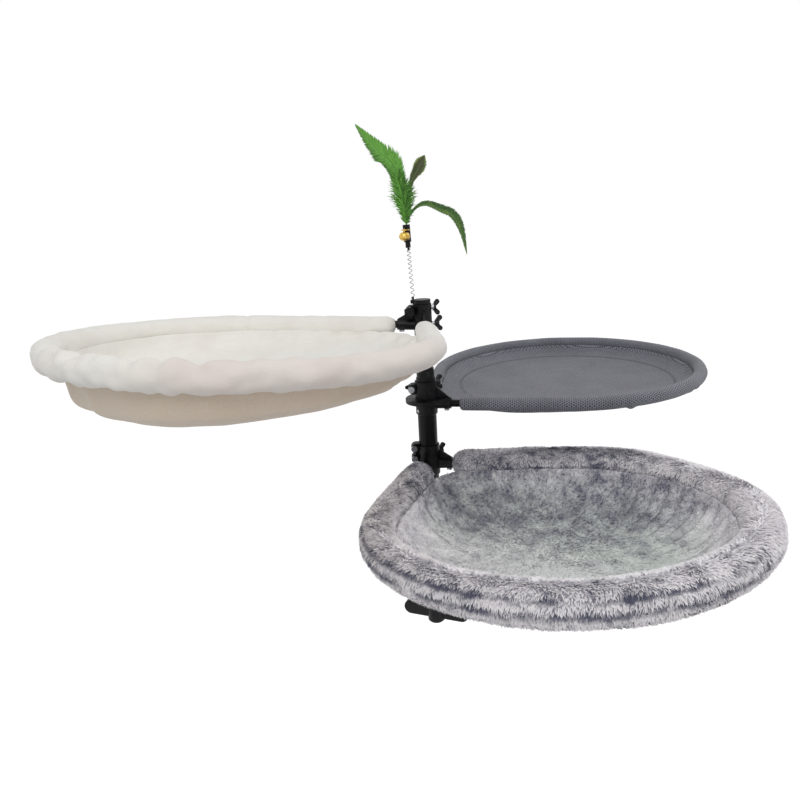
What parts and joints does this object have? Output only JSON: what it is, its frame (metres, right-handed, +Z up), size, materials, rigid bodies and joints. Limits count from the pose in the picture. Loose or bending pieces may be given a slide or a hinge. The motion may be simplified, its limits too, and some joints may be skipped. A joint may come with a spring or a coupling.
{
  "type": "desk mounted cat hammock",
  "caption": "Round hoop beds in plush, mesh and faux fur that swivel on a telescopic mast, held by a screw clamp on a desk edge, with a sprung feather toy on top.",
  "frame": {"origin": "centre of the mast's axis at the underside of the upper jaw's rubber pad, where it rests on the desk's top face", "axes": "+Z up along the mast, +Y in over the desk, away from its edge, +X to the right when facing the desk"},
  "size_m": [0.9155, 0.6535, 0.6757],
  "materials": {
    "black_steel": "satin black powder coat",
    "black_plastic": "moulded black plastic, slightly glossy",
    "zinc_steel": "bright zinc plated steel",
    "rubber": "black rubber",
    "white_plush": "short creamy white plush",
    "grey_mesh": "blue-grey spacer mesh with fine holes",
    "frosted_fur": "long faux fur, pale tips over navy-grey roots",
    "spring_steel": "bare spring wire",
    "gold_brass": "polished gold",
    "green_feather": "bright green dyed feather",
    "dark_feather": "dark olive feather with a lime edge",
    "olive_feather": "olive feather, darker on top"
  },
  "bodies": {
    "clamp": {"clamp_frame": "black_steel", "jaw_pad": "rubber", "pole_socket": "black_plastic", "flange_screws": "zinc_steel", "socket_set_screws": "zinc_steel", "lower_pole": "black_steel", "guide_bush": "black_plastic"},
    "foot": {"pressure_foot": "black_steel", "foot_pad": "rubber"},
    "screw": {"clamp_screw": "black_steel", "wing_handle": "black_plastic", "handle_pin": "black_steel"},
    "lock_knob": {"mast_lock_knob": "black_plastic"},
    "mast": {"upper_pole": "black_steel", "upper_pole_plug": "black_plastic", "top_cap": "black_plastic", "white_stop_ring": "black_plastic", "white_ring_screw": "zinc_steel"},
    "white_bed": {"white_bracket": "black_plastic", "white_hoop": "black_steel", "white_hoop_screws": "zinc_steel", "white_rim_sleeve": "white_plush", "white_bowl": "white_plush"},
    "white_knob": {"white_clamp_knob": "black_plastic"},
    "white_upper_wing": {"white_upper_wing_screw": "black_plastic"},
    "white_lower_wing": {"white_lower_wing_screw": "black_plastic"},
    "grey_ring": {"grey_stop_ring": "black_plastic", "grey_ring_screw": "zinc_steel"},
    "grey_bed": {"grey_bracket": "black_plastic", "grey_clamp_bolt": "zinc_steel", "grey_hoop": "black_steel", "grey_hoop_screws": "zinc_steel", "grey_rim_sleeve": "grey_mesh", "grey_sling": "grey_mesh"},
    "grey_lever": {"grey_clamp_lever": "black_plastic"},
    "grey_wing": {"grey_wing_screw": "black_plastic"},
    "furry_ring": {"furry_stop_ring": "black_plastic", "furry_ring_screw": "zinc_steel"},
    "furry_bed": {"furry_bracket": "black_plastic", "furry_clamp_bolts": "zinc_steel", "furry_clamp_nuts": "zinc_steel", "furry_hoop": "black_steel", "furry_hoop_screws": "zinc_steel", "furry_rim_sleeve": "frosted_fur", "furry_bowl": "frosted_fur"},
    "furry_wing": {"furry_wing_screw": "black_plastic"},
    "toy": {"toy_spring": "spring_steel", "ferrule": "black_plastic", "bell_loop": "gold_brass", "leaf_feather": "dark_feather", "long_feather": "green_feather", "drooping_feather": "olive_feather", "feather_plume": "green_feather"},
    "bell": {"bell": "gold_brass", "bell_pellet": "gold_brass"}
  },
  "joints": [
    {"name": "clamp_rise", "type": "slide", "parent": "clamp", "child": "foot", "axis": [0, 0, 1], "range_m": [-0.018, 0.03]},
    {"name": "clamp_screw_turn", "type": "hinge", "parent": "foot", "child": "screw", "pos_m": [0, 0, -0.141], "axis": [0, 0, 1], "continuous": true},
    {"name": "lock_knob_turn", "type": "hinge", "parent": "clamp", "child": "lock_knob", "pos_m": [0, 0, 0.2124], "axis": [-0.6561, -0.7547, 0], "continuous": true},
    {"name": "mast_height", "type": "slide", "parent": "clamp", "child": "mast", "axis": [0, 0, 1], "range_m": [-0.015, 0.09]},
    {"name": "white_swivel", "type": "hinge", "parent": "mast", "child": "white_bed", "pos_m": [0, 0, 0.275], "axis": [0, 0, 1], "continuous": true},
    {"name": "white_knob_turn", "type": "hinge", "parent": "white_bed", "child": "white_knob", "pos_m": [-0.01384, 0.00969, 0.294], "axis": [-0.5736, -0.8192, 0], "continuous": true},
    {"name": "white_upper_wing_turn", "type": "hinge", "parent": "white_bed", "child": "white_upper_wing", "pos_m": [0, 0, 0.297], "axis": [0.8192, -0.5736, 0], "continuous": true},
    {"name": "white_lower_wing_turn", "type": "hinge", "parent": "white_bed", "child": "white_lower_wing", "pos_m": [0, 0, 0.276], "axis": [0.891, -0.454, 0], "continuous": true},
    {"name": "grey_height", "type": "slide", "parent": "clamp", "child": "grey_ring", "axis": [0, 0, 1], "range_m": [-0.01, 0]},
    {"name": "grey_swivel", "type": "hinge", "parent": "grey_ring", "child": "grey_bed", "pos_m": [0, 0, 0.17], "axis": [0, 0, 1], "continuous": true},
    {"name": "grey_lever_turn", "type": "hinge", "parent": "grey_bed", "child": "grey_lever", "pos_m": [-0.01605, 0.01124, 0.191], "axis": [-0.5736, -0.8192, 0], "range_deg": [-110, 110]},
    {"name": "grey_wing_turn", "type": "hinge", "parent": "grey_bed", "child": "grey_wing", "pos_m": [0, 0, 0.196], "axis": [0.9962, -0.0872, 0], "continuous": true},
    {"name": "furry_height", "type": "slide", "parent": "clamp", "child": "furry_ring", "axis": [0, 0, 1], "range_m": [-0.015, 0]},
    {"name": "furry_swivel", "type": "hinge", "parent": "furry_ring", "child": "furry_bed", "pos_m": [0, 0, 0.085], "axis": [0, 0, 1], "continuous": true},
    {"name": "furry_wing_turn", "type": "hinge", "parent": "furry_bed", "child": "furry_wing", "pos_m": [0, 0, 0.1], "axis": [0.9962, -0.0872, 0], "continuous": true},
    {"name": "toy_wobble", "type": "hinge", "parent": "mast", "child": "toy", "pos_m": [-0.00893, 0.00625, 0.3077], "axis": [-0.5736, -0.8192, 0], "range_deg": [-35, 35], "stiffness_Nm_per_rad": 0.15, "deforming": ["toy_spring"]},
    {"name": "bell_swing", "type": "hinge", "parent": "toy", "child": "bell", "pos_m": [-0.02129, 0.00094, 0.39472], "axis": [-0.7771, -0.6293, 0], "range_deg": [-30, 30]}
  ],
  "couplings": [
    {"joint": "clamp_screw_turn", "follows": "clamp_rise", "rad_per_m": 1570.8}
  ]
}
